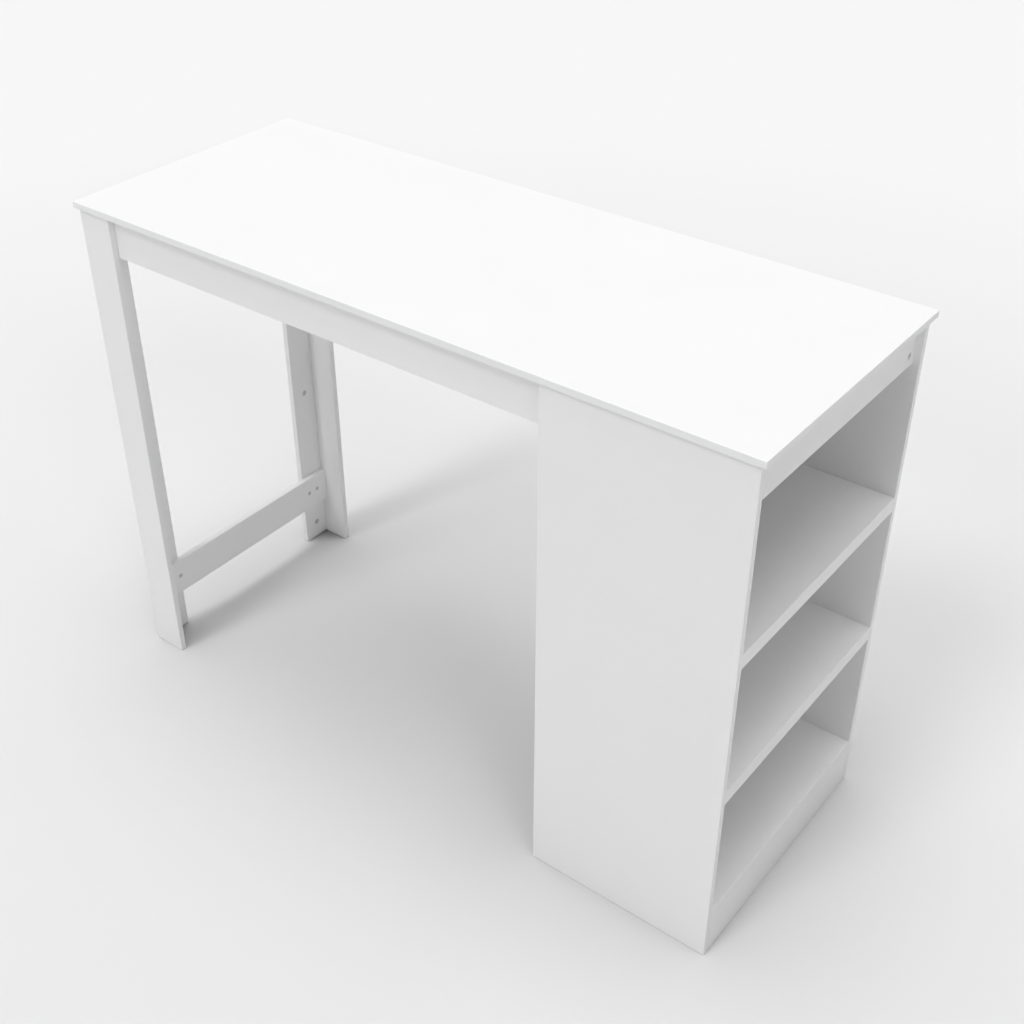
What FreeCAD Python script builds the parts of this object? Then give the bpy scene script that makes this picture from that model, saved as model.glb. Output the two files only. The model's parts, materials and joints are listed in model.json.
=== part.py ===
import FreeCAD, Part
import os
from collections import namedtuple
from FreeCAD import Vector

# Bar table on two L-shaped legs at one end and an open shelf cabinet at the other.
# Millimetres. The origin is on the floor under the middle of the top, +Z is up,
# the cabinet stands at the +X end and its bays open towards +X.

# Top
top_length = 1400.0
top_depth = 540.0
top_thickness = 12.0
table_height = 1008.0
end_overhang = 9.0
side_overhang = 6.0

# Frame boards
board_thickness = 12.0
edge_rounding = 0.6
leg_width = 75.0
apron_height = 80.0
foot_rail_height = 80.0
foot_rail_rise = 98.0

# Shelf cabinet
cabinet_length = 362.0
shelf_thickness = 28.0
plinth_height = 76.0
end_rail_setback = 12.0
shelf_names = ("bottom_shelf", "lower_shelf", "upper_shelf")

# Cam locks and their bolts
cam_radius = 6.75
shelf_cam_radius = 7.5
cam_wall = 0.9
cam_bolt_reach = 24.0
leg_bolt_reach = 29.0
end_rail_bolt_reach = 18.5
partition_cam_drop = 30.0
bolt_radius = 2.4
bolt_neck_radius = 1.4
bolt_shoulder_gap = 1.0
bolt_head_length = 3.0
shelf_bolt_share = 0.32

# Dowels and screws
dowel_radius = 3.0
dowel_reach = 20.0
dowel_bevel = 0.8
screw_head_radius = 5.0
screw_head_height = 2.4
screw_shank_share = 0.5

# Cross recess of cams and screws, as shares of the head that carries it
cross_length_share = 1.1
cross_width_share = 0.22
cross_depth_share = 0.6

# Fits: heads below the faces, round pieces in their holes, bolt heads in their cams, hole ends and cuts
head_recess = 0.4
fit_clearance = 0.1
slot_clearance = 0.25
end_clearance = 0.5
overrun = 1.0
seat_share = 0.65

# Places of the fittings, as shares of the board that carries them
leg_cam_shares = (0.04, 0.395, 0.75)
leg_dowel_shares = (0.23, 0.57)
rail_cam_share = 0.25
rail_dowel_share = 0.75
screw_shares = (0.46, 0.86)
screw_height_share = 0.52
apron_top_shares = (0.15, 0.5, 0.85)
pair_shares = (0.25, 0.75)
shelf_cam_shares = (0.2, 0.8)
middle_share = 0.5

# Levels and faces that the boards share
under_top = table_height - top_thickness
rail_underside = under_top - apron_height
outer = top_depth / 2 - side_overhang
inner = outer - board_thickness
apron_inner = inner - board_thickness
side_board_edge = outer - leg_width
left = end_overhang - top_length / 2
left_inner = left + board_thickness
left_rail_face = left_inner + board_thickness
right = top_length / 2 - end_overhang
plinth_back = right - board_thickness
end_rail_face = right - end_rail_setback
cabinet_left = right - cabinet_length
cabinet_inner = cabinet_left + board_thickness
shelf_room = rail_underside - plinth_height
shelf_pitch = shelf_room / len(shelf_names)
shelf_levels = [plinth_height + shelf_pitch * place for place in range(len(shelf_names))]
half_board = board_thickness / 2

sides = (("front", -1), ("back", 1))
plus_x = Vector(1, 0, 0)
minus_x = Vector(-1, 0, 0)
down = Vector(0, 0, -1)

Board = namedtuple("Board", "low high cuts")
CamSize = namedtuple("CamSize", "radius axis_depth reach")
board_cam = CamSize(cam_radius, half_board, cam_bolt_reach)
leg_cam = CamSize(cam_radius, half_board, leg_bolt_reach)
end_rail_cam = CamSize(cam_radius, half_board, end_rail_bolt_reach)
shelf_cam = CamSize(shelf_cam_radius, shelf_bolt_share * shelf_thickness, cam_bolt_reach)

boards = {}
fittings = {}


def add_board(name, corner, opposite):
    """A board between two opposite corners, with the list of what is cut out of it."""
    low = Vector(*[min(pair) for pair in zip(corner, opposite)])
    high = Vector(*[max(pair) for pair in zip(corner, opposite)])
    boards[name] = Board(low, high, [])


def add_fitting(group, solid):
    """A solid of one group of like fittings."""
    fittings.setdefault(group, []).append(solid)


def along(name, axis, share):
    """The place at a share of a board's extent along an axis, 0 to 2 for X to Z."""
    board = boards[name]
    return board.low[axis] + share * (board.high[axis] - board.low[axis])


def seat_depth(name, direction):
    """How deep a bolt, dowel or screw is seated in a board across its thickness."""
    board = boards[name]
    return seat_share * abs((board.high - board.low).dot(direction))


def rod(start, direction, radius, length):
    return Part.makeCylinder(radius, length, start, direction)


def turned(start, axis, radial, outline):
    """A solid of revolution from an outline of radius and place along the axis."""
    points = [start + radial * radius + axis * place for radius, place in outline]
    wire = Part.makePolygon(points + points[:1])
    return Part.Face(wire).revolve(start, axis, 360)


def bar(middle, x_way, y_way, z_way, length, width, depth):
    """A bar centred on a point, with its length, width and depth along three square axes."""
    corners = []
    for x_sign, y_sign in ((-1, -1), (1, -1), (1, 1), (-1, 1)):
        corner = middle + x_way * (x_sign * length / 2) + y_way * (y_sign * width / 2)
        corners.append(corner - z_way * (depth / 2))
    return Part.Face(Part.makePolygon(corners + corners[:1])).extrude(z_way * depth)


def cross_cut(middle, face, way, radius, depth):
    """The crossed bars of a screwdriver recess, standing proud of the face by the overrun."""
    other_way = face.cross(way)
    centre = middle + face * ((overrun - depth) / 2)
    length = radius * cross_length_share
    width = radius * cross_width_share
    first = bar(centre, way, other_way, face, length, width, depth + overrun)
    second = bar(centre, other_way, way, face, length, width, depth + overrun)
    return first.fuse(second)


def cam_solid(centre, direction, face, size):
    """A cam lock whose chamber holds the bolt's head and whose wall grips behind it."""
    cover = size.axis_depth - head_recess
    height = cover + bolt_radius + slot_clearance + cam_wall
    top = centre + face * cover
    head_start = centre - direction * (bolt_head_length + slot_clearance)
    chamber = rod(head_start, direction, bolt_radius + slot_clearance,
                  bolt_head_length + slot_clearance + end_clearance)
    neck_start = centre - direction * (size.radius + overrun)
    neck_way = rod(neck_start, direction, bolt_neck_radius + slot_clearance, size.radius + overrun)
    cross_depth = cross_depth_share * (cover - bolt_radius - slot_clearance)
    cross = cross_cut(top, face, direction, size.radius, cross_depth)
    return rod(top, -face, size.radius, height).cut([chamber, neck_way, cross])


def bolt_solid(point, direction, face, seat, size):
    """A cam bolt, seated in one board, with its neck and head in the cam of the other."""
    head_start = size.reach - bolt_head_length
    neck_start = size.reach - size.radius - bolt_shoulder_gap
    outline = (
        (0, -seat),
        (bolt_radius, -seat),
        (bolt_radius, neck_start),
        (bolt_neck_radius, neck_start),
        (bolt_neck_radius, head_start),
        (bolt_radius, head_start),
        (bolt_radius, size.reach),
        (0, size.reach),
    )
    return turned(point, direction, face, outline)


def cam_joint(group, holder, receiver, point, direction, face, size=board_cam):
    """A cam in the holder board that pulls it onto a bolt in the receiver board.

    The point lies where the bolt's axis crosses the joint, the direction leads into
    the holder, and the face is the side of the holder that the cam is let into.
    """
    seat = seat_depth(receiver, direction)
    centre = point + direction * size.reach
    mouth = centre + face * size.axis_depth
    pocket_depth = size.axis_depth + bolt_radius + slot_clearance + cam_wall
    hole_radius = bolt_radius + fit_clearance
    pocket = rod(mouth + face * overrun, -face, size.radius + fit_clearance, pocket_depth + overrun)
    edge_hole = rod(point - direction * overrun, direction, hole_radius, size.reach + overrun)
    seat_hole = rod(point + direction * overrun, -direction, hole_radius, seat + end_clearance + overrun)
    boards[holder].cuts.extend([pocket, edge_hole])
    boards[receiver].cuts.append(seat_hole)
    add_fitting(group + "_cam_locks", cam_solid(centre, direction, face, size))
    add_fitting(group + "_cam_bolts", bolt_solid(point, direction, face, seat, size))


def dowel_joint(group, holder, receiver, point, direction):
    """A dowel across a joint, mostly in the holder board, with both its holes."""
    seat = seat_depth(receiver, direction)
    hole_radius = dowel_radius + fit_clearance
    holder_hole = rod(point - direction * overrun, direction, hole_radius,
                      dowel_reach + end_clearance + overrun)
    seat_hole = rod(point + direction * overrun, -direction, hole_radius, seat + end_clearance + overrun)
    boards[holder].cuts.append(holder_hole)
    boards[receiver].cuts.append(seat_hole)
    outline = (
        (0, -seat),
        (dowel_radius - dowel_bevel, -seat),
        (dowel_radius, dowel_bevel - seat),
        (dowel_radius, dowel_reach - dowel_bevel),
        (dowel_radius - dowel_bevel, dowel_reach),
        (0, dowel_reach),
    )
    radial = Vector(direction.z, direction.x, direction.y)
    add_fitting(group + "_dowels", turned(point, direction, radial, outline))


def screw_joint(rail, receiver, point):
    """A screw through a rail from its +X face into the board behind it."""
    shank_radius = screw_head_radius * screw_shank_share
    seat = seat_depth(receiver, plus_x)
    head_top = point + minus_x * head_recess
    length = board_thickness - head_recess + seat
    counterbore = rod(point + plus_x * overrun, minus_x, screw_head_radius + fit_clearance,
                      overrun + head_recess + screw_head_height)
    shank_hole = rod(point, minus_x, shank_radius + fit_clearance,
                     board_thickness + seat + end_clearance)
    boards[rail].cuts.extend([counterbore, shank_hole])
    boards[receiver].cuts.append(shank_hole)
    outline = (
        (0, 0),
        (screw_head_radius, 0),
        (screw_head_radius, screw_head_height),
        (shank_radius, screw_head_height),
        (shank_radius, length),
        (0, length),
    )
    screw = turned(head_top, minus_x, down, outline)
    cross_depth = cross_depth_share * screw_head_height
    cross = cross_cut(head_top, plus_x, down, screw_head_radius, cross_depth)
    add_fitting("rail_screws", screw.cut(cross))


def make_top():
    add_board("tabletop", (-top_length / 2, -top_depth / 2, under_top),
              (top_length / 2, top_depth / 2, table_height))


def make_legs_and_aprons():
    for side, sign in sides:
        add_board(side + "_leg_face_board", (left, sign * inner, 0),
                  (left + leg_width, sign * outer, under_top))
        add_board(side + "_leg_side_board", (left, sign * side_board_edge, 0),
                  (left_inner, sign * inner, under_top))
        add_board(side + "_apron", (left_inner, sign * apron_inner, rail_underside),
                  (cabinet_left, sign * inner, under_top))
    add_board("left_end_rail", (left_inner, -apron_inner, rail_underside),
              (left_rail_face, apron_inner, under_top))
    add_board("foot_rail", (left_inner, -inner, foot_rail_rise),
              (left_rail_face, inner, foot_rail_rise + foot_rail_height))


def make_cabinet():
    for side, sign in sides:
        add_board("cabinet_" + side + "_panel", (cabinet_left, sign * inner, 0),
                  (right, sign * outer, under_top))
    add_board("cabinet_partition", (cabinet_left, -inner, 0), (cabinet_inner, inner, under_top))
    add_board("right_end_rail", (end_rail_face - board_thickness, -inner, rail_underside),
              (end_rail_face, inner, under_top))
    add_board("plinth", (plinth_back, -inner, 0), (right, inner, plinth_height))
    for name, level in zip(shelf_names, shelf_levels):
        add_board(name, (cabinet_inner, -inner, level), (right, inner, level + shelf_thickness))


def join_legs():
    """Cams in the side boards and bolts in the face boards, with dowels between them."""
    for side, sign in sides:
        face_board = side + "_leg_face_board"
        side_board = side + "_leg_side_board"
        inward = Vector(0, -sign, 0)
        for share in leg_cam_shares:
            point = Vector(left + half_board, sign * inner, share * under_top)
            cam_joint("leg", side_board, face_board, point, inward, plus_x, leg_cam)
        for share in leg_dowel_shares:
            point = Vector(left + half_board, sign * inner, share * under_top)
            dowel_joint("leg", side_board, face_board, point, inward)


def join_aprons():
    """One cam and one dowel at each end of each apron."""
    for side, sign in sides:
        apron = side + "_apron"
        y = sign * (inner - half_board)
        ends = ((left_inner, side + "_leg_side_board", plus_x), (cabinet_left, "cabinet_partition", minus_x))
        for x, receiver, direction in ends:
            cam_point = Vector(x, y, along(apron, 2, rail_cam_share))
            cam_joint("apron", apron, receiver, cam_point, direction, Vector(0, -sign, 0))
            dowel_point = Vector(x, y, along(apron, 2, rail_dowel_share))
            dowel_joint("apron", apron, receiver, dowel_point, direction)


def join_left_rails():
    """The foot rail and the left end rail, screwed to the side boards of both legs."""
    side_board_width = inner - side_board_edge
    for side, sign in sides:
        for rail in ("foot_rail", "left_end_rail"):
            for share in screw_shares:
                y = sign * (inner - share * side_board_width)
                point = Vector(left_rail_face, y, along(rail, 2, screw_height_share))
                screw_joint(rail, side + "_leg_side_board", point)


def join_cabinet_boards():
    """The end rail, the plinth and the partition, each held between the two panels."""
    rail_middle = end_rail_face - half_board
    plinth_middle = right - half_board
    partition_middle = cabinet_left + half_board
    partition_levels = [level - partition_cam_drop for level in shelf_levels + [rail_underside]]
    for side, sign in sides:
        panel = "cabinet_" + side + "_panel"
        inward = Vector(0, -sign, 0)
        y = sign * inner
        rail_cam = Vector(rail_middle, y, along("right_end_rail", 2, rail_cam_share))
        rail_dowel = Vector(rail_middle, y, along("right_end_rail", 2, rail_dowel_share))
        cam_joint("end_rail", "right_end_rail", panel, rail_cam, inward, plus_x, end_rail_cam)
        dowel_joint("end_rail", "right_end_rail", panel, rail_dowel, inward)
        plinth_cam = Vector(plinth_middle, y, along("plinth", 2, rail_cam_share))
        plinth_dowel = Vector(plinth_middle, y, along("plinth", 2, rail_dowel_share))
        cam_joint("plinth", "plinth", panel, plinth_cam, inward, minus_x)
        dowel_joint("plinth", "plinth", panel, plinth_dowel, inward)
        for level in partition_levels:
            point = Vector(partition_middle, y, level)
            cam_joint("partition", "cabinet_partition", panel, point, inward, plus_x)
        for level in shelf_levels:
            point = Vector(partition_middle, y, level + shelf_thickness / 2)
            dowel_joint("partition", "cabinet_partition", panel, point, inward)


def join_shelves():
    """Cams under the shelves towards both panels, with dowels to panels and partition."""
    for name in shelf_names:
        middle = along(name, 2, middle_share)
        for side, sign in sides:
            panel = "cabinet_" + side + "_panel"
            inward = Vector(0, -sign, 0)
            for share in shelf_cam_shares:
                level = boards[name].low.z + shelf_cam.axis_depth
                point = Vector(along(name, 0, share), sign * inner, level)
                cam_joint("shelf", name, panel, point, inward, down, shelf_cam)
            point = Vector(along(name, 0, middle_share), sign * inner, middle)
            dowel_joint("shelf", name, panel, point, inward)
        for share in pair_shares:
            point = Vector(cabinet_inner, along(name, 1, share), middle)
            dowel_joint("shelf", name, "cabinet_partition", point, plus_x)


def join_top():
    """Cams inside the frame pull the top down, and dowels keep it in place."""
    for side, sign in sides:
        apron = side + "_apron"
        panel = "cabinet_" + side + "_panel"
        face_board = side + "_leg_face_board"
        for share in apron_top_shares:
            point = Vector(along(apron, 0, share), sign * (inner - half_board), under_top)
            cam_joint("top", apron, "tabletop", point, down, Vector(0, -sign, 0))
        y = sign * (inner + half_board)
        for share in pair_shares:
            dowel_joint("top", panel, "tabletop", Vector(along(panel, 0, share), y, under_top), down)
        leg_point = Vector(along(face_board, 0, middle_share), y, under_top)
        dowel_joint("top", face_board, "tabletop", leg_point, down)
    holders = (("left_end_rail", plus_x), ("right_end_rail", minus_x), ("cabinet_partition", plus_x))
    for holder, face in holders:
        for share in pair_shares:
            point = Vector(along(holder, 0, middle_share), along(holder, 1, share), under_top)
            cam_joint("top", holder, "tabletop", point, down, face)


def board_solid(board):
    """The board with its edges eased and its holes and pockets cut."""
    size = board.high - board.low
    blank = Part.makeBox(size.x, size.y, size.z, board.low)
    eased = blank.makeFillet(edge_rounding, blank.Edges)
    return eased.cut(board.cuts)


make_top()
make_legs_and_aprons()
make_cabinet()
join_legs()
join_aprons()
join_left_rails()
join_cabinet_boards()
join_shelves()
join_top()

os.makedirs("parts", exist_ok=True)
for node, board in boards.items():
    board_solid(board).exportStep("parts/" + node + ".step")
for node, solids in fittings.items():
    Part.makeCompound(solids).exportStep("parts/" + node + ".step")
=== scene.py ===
import bmesh
import bpy
import json
import math
from collections import namedtuple
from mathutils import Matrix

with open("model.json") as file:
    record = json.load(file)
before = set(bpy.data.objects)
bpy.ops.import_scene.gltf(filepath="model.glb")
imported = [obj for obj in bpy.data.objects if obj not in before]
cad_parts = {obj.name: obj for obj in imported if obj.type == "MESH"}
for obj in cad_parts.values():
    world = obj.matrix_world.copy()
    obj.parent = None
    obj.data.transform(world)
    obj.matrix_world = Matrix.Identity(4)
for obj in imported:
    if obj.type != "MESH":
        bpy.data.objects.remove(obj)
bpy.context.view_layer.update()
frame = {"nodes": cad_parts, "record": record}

# Lengths are in metres and angles in degrees
Lamp = namedtuple("Lamp", "name azimuth elevation softness strength")
Noise = namedtuple("Noise", "patches_per_metre detail roughness", defaults=(0.5,))
Relief = namedtuple("Relief", "strength depth")
Metal = namedtuple("Metal", "name dark bright roughness grain")

# Camera
CAMERA_PLACE = (1.3737, -1.6917, 2.0090)
CAMERA_AZIMUTH = 37.43
CAMERA_ELEVATION = 35.05
LENS_MM = 50.0
SENSOR_MM = 36.0

# Floor: its size, its greys in the middle and further out, where the darker middle is painted shade near the
# table, and its finish
FLOOR_RADIUS = 40.0
FLOOR_SIDES = 64
FLOOR_DROP = 0.0002
FLOOR_MIDDLE = (0.25, -0.5, 0.0)
FLOOR_FADE = 4.0
FLOOR_MIDDLE_LEVEL = 0.703
FLOOR_OUTER_LEVEL = 0.828
FLOOR_ROUGHNESS = 0.9
FLOOR_GLOSS = 0.0

# Contact shadow painted into the floor's colour: its reach, and pairs of openness and painted shade for a
# corner, beside a wall and in the open
CONTACT_REACH = 0.30
CONTACT_SAMPLES = 12
CONTACT_STOPS = ((0.20, 0.12), (0.50, 0.88), (1.0, 1.0))

# Sky: the backdrop's grey, the plain light, the light overhead and how closely that gathers round the zenith
BACKDROP_LEVEL = 0.936
SKY_LEVEL = 0.168
SKY_OVERHEAD = 4.85
SKY_FOCUS = 12.0

LAMPS = (
    Lamp("front_lamp", -10.0, 30.0, 16.0, 0.37),
    Lamp("front_high_lamp", -10.0, 53.0, 16.0, 0.59),
    Lamp("right_lamp", 60.0, 36.0, 16.0, 0.30),
)

# Values that most of a noise lies between
NOISE_RANGE = (0.3, 0.7)

# White boards: faces with clouds and fine speckle, edge bands that are smoother, and a pearl relief on both
BOARD_CLOUDS = Noise(7.0, 4.0)
BOARD_SPECKLE = Noise(620.0, 2.0)
SPECKLE_SHARE = 0.6
FACE_DARK = (0.852, 0.852, 0.852, 1.0)
FACE_BRIGHT = (0.868, 0.868, 0.868, 1.0)
FACE_ROUGHNESS = (0.40, 0.54)
EDGE_DARK = (0.838, 0.842, 0.848, 1.0)
EDGE_BRIGHT = (0.856, 0.860, 0.866, 1.0)
EDGE_SMOOTHER = 0.10
EDGE_FACING = 0.5
BOARD_PEARL = Noise(900.0, 3.0)
PEARL_RELIEF = Relief(0.12, 0.0002)

# Metal fittings
CAM_METAL = Metal(
    name="cam_zinc",
    dark=(0.56, 0.56, 0.57, 1.0),
    bright=(0.70, 0.70, 0.71, 1.0),
    roughness=(0.42, 0.60),
    grain=Noise(2400.0, 3.0),
)
STEEL = Metal(
    name="plated_steel",
    dark=(0.53, 0.53, 0.54, 1.0),
    bright=(0.66, 0.66, 0.67, 1.0),
    roughness=(0.32, 0.46),
    grain=Noise(3200.0, 3.0),
)
METAL_CLOUDS = Noise(260.0, 4.0, 0.6)
METAL_RELIEF = Relief(0.25, 0.0001)

# Beech dowels
DOWEL_GRAIN = Noise(480.0, 5.0, 0.65)
DOWEL_STOPS = (
    (0.3, (0.56, 0.40, 0.25, 1.0)),
    (0.55, (0.72, 0.56, 0.38, 1.0)),
    (0.75, (0.80, 0.65, 0.47, 1.0)),
)
DOWEL_ROUGHNESS = 0.62
DOWEL_RELIEF = Relief(0.3, 0.0002)

# Axis across the thickness of each board, 0 to 2 for X to Z
BOARD_AXES = {
    "tabletop": 2,
    "front_apron": 1,
    "back_apron": 1,
    "left_end_rail": 0,
    "right_end_rail": 0,
    "front_leg_face_board": 1,
    "front_leg_side_board": 0,
    "back_leg_face_board": 1,
    "back_leg_side_board": 0,
    "foot_rail": 0,
    "cabinet_front_panel": 1,
    "cabinet_back_panel": 1,
    "cabinet_partition": 0,
    "upper_shelf": 2,
    "lower_shelf": 2,
    "bottom_shelf": 2,
    "plinth": 0,
}
AXIS_NAMES = ("X", "Y", "Z")


def start_material(name):
    """A material with its node tree, its shader and its own coordinates in metres."""
    material = bpy.data.materials.new(name)
    material.use_nodes = True
    tree = material.node_tree
    shader = tree.nodes["Principled BSDF"]
    place = tree.nodes.new("ShaderNodeTexCoord").outputs["Object"]
    return material, tree, shader, place


def noise(tree, place, texture):
    """The values of a noise texture, from 0 to 1."""
    node = tree.nodes.new("ShaderNodeTexNoise")
    node.inputs["Scale"].default_value = texture.patches_per_metre
    node.inputs["Detail"].default_value = texture.detail
    node.inputs["Roughness"].default_value = texture.roughness
    tree.links.new(place, node.inputs["Vector"])
    return node.outputs["Fac"]


def math_node(tree, operation, first, second=None):
    """A maths node on a socket and, where given, a number or another socket."""
    node = tree.nodes.new("ShaderNodeMath")
    node.operation = operation
    tree.links.new(first, node.inputs[0])
    if isinstance(second, (int, float)):
        node.inputs[1].default_value = second
    elif second is not None:
        tree.links.new(second, node.inputs[1])
    return node.outputs["Value"]


def ramp(tree, factor, stops):
    """A colour ramp through two or more pairs of place and colour."""
    node = tree.nodes.new("ShaderNodeValToRGB")
    elements = node.color_ramp.elements
    for element, (place, colour) in zip(elements, (stops[0], stops[-1])):
        element.position = place
        element.color = colour
    for place, colour in stops[1:-1]:
        elements.new(place).color = colour
    tree.links.new(factor, node.inputs["Fac"])
    return node.outputs["Color"]


def two_tone(tree, factor, dark, bright):
    """A noise turned into colours between a dark and a bright one."""
    return ramp(tree, factor, tuple(zip(NOISE_RANGE, (dark, bright))))


def spread(tree, factor, low, high, start=(0.0, 1.0)):
    """A factor between two values spread over another range, and held at its ends."""
    node = tree.nodes.new("ShaderNodeMapRange")
    node.inputs["From Min"].default_value = start[0]
    node.inputs["From Max"].default_value = start[1]
    node.inputs["To Min"].default_value = low
    node.inputs["To Max"].default_value = high
    tree.links.new(factor, node.inputs["Value"])
    return node.outputs["Result"]


def mix_colour(tree, factor, first, second):
    """A mix of two colour sockets by a factor socket."""
    node = tree.nodes.new("ShaderNodeMix")
    node.data_type = "RGBA"
    tree.links.new(factor, node.inputs["Factor"])
    tree.links.new(first, node.inputs["A"])
    tree.links.new(second, node.inputs["B"])
    return node.outputs["Result"]


def bump(tree, shader, height, relief):
    """Fine relief on the shader's normal."""
    node = tree.nodes.new("ShaderNodeBump")
    node.inputs["Strength"].default_value = relief.strength
    node.inputs["Distance"].default_value = relief.depth
    tree.links.new(height, node.inputs["Height"])
    tree.links.new(node.outputs["Normal"], shader.inputs["Normal"])


def grey(level):
    """An opaque grey."""
    return (level, level, level, 1.0)


def view_turn(azimuth, elevation):
    """The rotation of a camera or lamp that looks down from an azimuth and an elevation."""
    return (math.radians(90.0 - elevation), 0.0, math.radians(azimuth))


def board_material(axis):
    """White melamine with a fine pearl texture, and smoother edge bands on faces turned off the axis."""
    material, tree, shader, place = start_material("white_board_" + AXIS_NAMES[axis].lower())
    normal = tree.nodes.new("ShaderNodeNewGeometry").outputs["True Normal"]
    parts = tree.nodes.new("ShaderNodeSeparateXYZ")
    tree.links.new(normal, parts.inputs["Vector"])
    facing = math_node(tree, "ABSOLUTE", parts.outputs[AXIS_NAMES[axis]])
    on_edge = math_node(tree, "LESS_THAN", facing, EDGE_FACING)
    clouds = noise(tree, place, BOARD_CLOUDS)
    speckle = math_node(tree, "MULTIPLY", noise(tree, place, BOARD_SPECKLE), SPECKLE_SHARE)
    both = math_node(tree, "ADD", clouds, speckle)
    shade = math_node(tree, "MULTIPLY", both, 1.0 / (1.0 + SPECKLE_SHARE))
    face_colour = two_tone(tree, shade, FACE_DARK, FACE_BRIGHT)
    edge_colour = two_tone(tree, clouds, EDGE_DARK, EDGE_BRIGHT)
    tree.links.new(mix_colour(tree, on_edge, face_colour, edge_colour), shader.inputs["Base Color"])
    face_roughness = spread(tree, shade, *FACE_ROUGHNESS)
    smoother = math_node(tree, "MULTIPLY", on_edge, EDGE_SMOOTHER)
    tree.links.new(math_node(tree, "SUBTRACT", face_roughness, smoother), shader.inputs["Roughness"])
    bump(tree, shader, noise(tree, place, BOARD_PEARL), PEARL_RELIEF)
    return material


def metal_material(metal):
    """Plain hardware metal with a cloudy surface and fine grain."""
    material, tree, shader, place = start_material(metal.name)
    shader.inputs["Metallic"].default_value = 1.0
    clouds = noise(tree, place, METAL_CLOUDS)
    tree.links.new(two_tone(tree, clouds, metal.dark, metal.bright), shader.inputs["Base Color"])
    tree.links.new(spread(tree, clouds, *metal.roughness), shader.inputs["Roughness"])
    bump(tree, shader, noise(tree, place, metal.grain), METAL_RELIEF)
    return material


def dowel_material():
    """Plain beech with flecks of darker and paler wood."""
    material, tree, shader, place = start_material("dowel_beech")
    shader.inputs["Roughness"].default_value = DOWEL_ROUGHNESS
    grain = noise(tree, place, DOWEL_GRAIN)
    tree.links.new(ramp(tree, grain, DOWEL_STOPS), shader.inputs["Base Color"])
    bump(tree, shader, grain, DOWEL_RELIEF)
    return material


def dress_nodes():
    """Give every node of the frame its material: boards by their axis, fittings by their slot."""
    boards = [board_material(axis) for axis in range(len(AXIS_NAMES))]
    fittings = {
        "cam_metal": metal_material(CAM_METAL),
        "plated_steel": metal_material(STEEL),
        "dowel_wood": dowel_material(),
    }
    slots = {row["node"]: row["material_slot"] for row in frame["record"]["subparts"]}
    for name, node in frame["nodes"].items():
        if name in BOARD_AXES:
            material = boards[BOARD_AXES[name]]
        else:
            material = fittings[slots[name]]
        for slot in node.material_slots:
            slot.material = material


def floor_material():
    """Matte grey, with painted shade that makes it darker in the middle and paler further out, and darker
    where something stands close over it.
    """
    material, tree, shader, place = start_material("floor_matte")
    outward = tree.nodes.new("ShaderNodeVectorMath")
    outward.operation = "DISTANCE"
    outward.inputs[1].default_value = FLOOR_MIDDLE
    tree.links.new(place, outward.inputs[0])
    # Painted shade: the floor's grey is darker in the middle near the table and paler further out
    fade = (0.0, FLOOR_FADE)
    level = spread(tree, outward.outputs["Value"], FLOOR_MIDDLE_LEVEL, FLOOR_OUTER_LEVEL, fade)
    # Painted shade: the floor's colour is darkened where it is closed in, deepest in the corners inside the
    # legs
    contact = tree.nodes.new("ShaderNodeAmbientOcclusion")
    contact.samples = CONTACT_SAMPLES
    contact.inputs["Distance"].default_value = CONTACT_REACH
    stops = [(openness, grey(shade)) for openness, shade in CONTACT_STOPS]
    painted_contact_shade = ramp(tree, contact.outputs["AO"], stops)
    tree.links.new(math_node(tree, "MULTIPLY", level, painted_contact_shade), shader.inputs["Base Color"])
    shader.inputs["Roughness"].default_value = FLOOR_ROUGHNESS
    shader.inputs["Specular IOR Level"].default_value = FLOOR_GLOSS
    return material


def make_floor():
    """A wide pale floor that keeps the table's soft shadow."""
    mesh = bpy.data.meshes.new("floor")
    builder = bmesh.new()
    bmesh.ops.create_circle(builder, cap_ends=True, radius=FLOOR_RADIUS, segments=FLOOR_SIDES)
    builder.to_mesh(mesh)
    builder.free()
    mesh.materials.append(floor_material())
    floor = bpy.data.objects.new("floor", mesh)
    floor.location.z = -FLOOR_DROP
    bpy.context.scene.collection.objects.link(floor)


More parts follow.
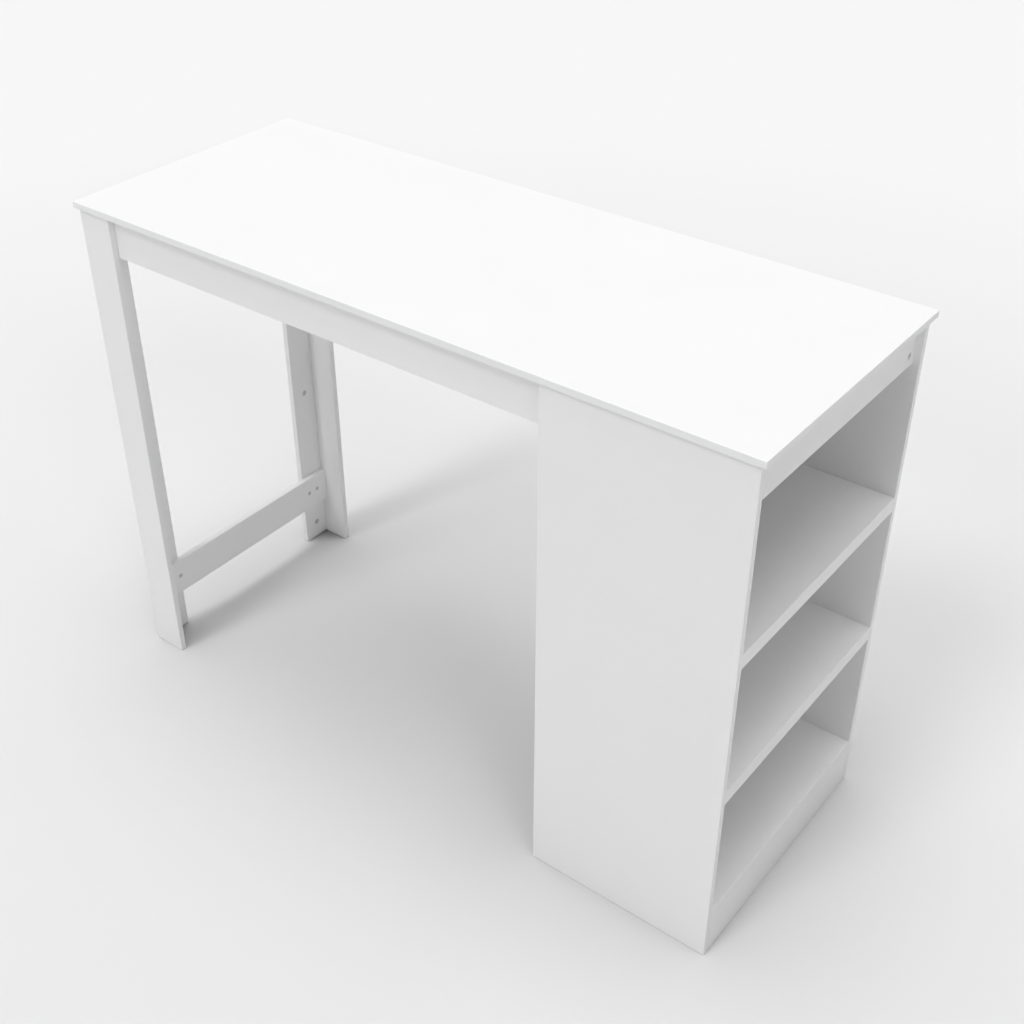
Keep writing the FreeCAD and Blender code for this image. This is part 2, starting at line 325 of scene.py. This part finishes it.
def make_sky():
    """A soft sky that is brighter overhead, and a plain pale backdrop where it is seen or mirrored."""
    world = bpy.data.worlds.new("soft_sky")
    world.use_nodes = True
    tree = world.node_tree
    light = tree.nodes["Background"]
    light.inputs["Color"].default_value = grey(1.0)
    parts = tree.nodes.new("ShaderNodeSeparateXYZ")
    tree.links.new(tree.nodes.new("ShaderNodeTexCoord").outputs["Generated"], parts.inputs["Vector"])
    height = math_node(tree, "MAXIMUM", parts.outputs["Z"], 0.0)
    overhead = math_node(tree, "MULTIPLY", math_node(tree, "POWER", height, SKY_FOCUS), SKY_OVERHEAD)
    tree.links.new(math_node(tree, "ADD", overhead, SKY_LEVEL), light.inputs["Strength"])
    backdrop = tree.nodes.new("ShaderNodeBackground")
    backdrop.inputs["Color"].default_value = grey(BACKDROP_LEVEL)
    rays = tree.nodes.new("ShaderNodeLightPath").outputs
    seen = math_node(tree, "MAXIMUM", rays["Is Camera Ray"], rays["Is Glossy Ray"])
    seen = math_node(tree, "MAXIMUM", seen, rays["Is Transmission Ray"])
    mix = tree.nodes.new("ShaderNodeMixShader")
    tree.links.new(seen, mix.inputs["Fac"])
    tree.links.new(light.outputs["Background"], mix.inputs[1])
    tree.links.new(backdrop.outputs["Background"], mix.inputs[2])
    tree.links.new(mix.outputs["Shader"], tree.nodes["World Output"].inputs["Surface"])
    bpy.context.scene.world = world


def make_lamps():
    """Wide soft lamps that model the upright faces."""
    for lamp in LAMPS:
        light = bpy.data.lights.new(lamp.name, "SUN")
        light.energy = lamp.strength
        light.angle = math.radians(lamp.softness)
        holder = bpy.data.objects.new(lamp.name, light)
        holder.rotation_euler = view_turn(lamp.azimuth, lamp.elevation)
        bpy.context.scene.collection.objects.link(holder)


def make_camera():
    """The photograph's view."""
    lens = bpy.data.cameras.new("camera")
    lens.lens = LENS_MM
    lens.sensor_width = SENSOR_MM
    camera = bpy.data.objects.new("camera", lens)
    camera.location = CAMERA_PLACE
    camera.rotation_euler = view_turn(CAMERA_AZIMUTH, CAMERA_ELEVATION)
    bpy.context.scene.collection.objects.link(camera)
    bpy.context.scene.camera = camera


dress_nodes()
make_floor()
make_sky()
make_lamps()
make_camera()
bpy.context.scene.view_settings.view_transform = "Standard"
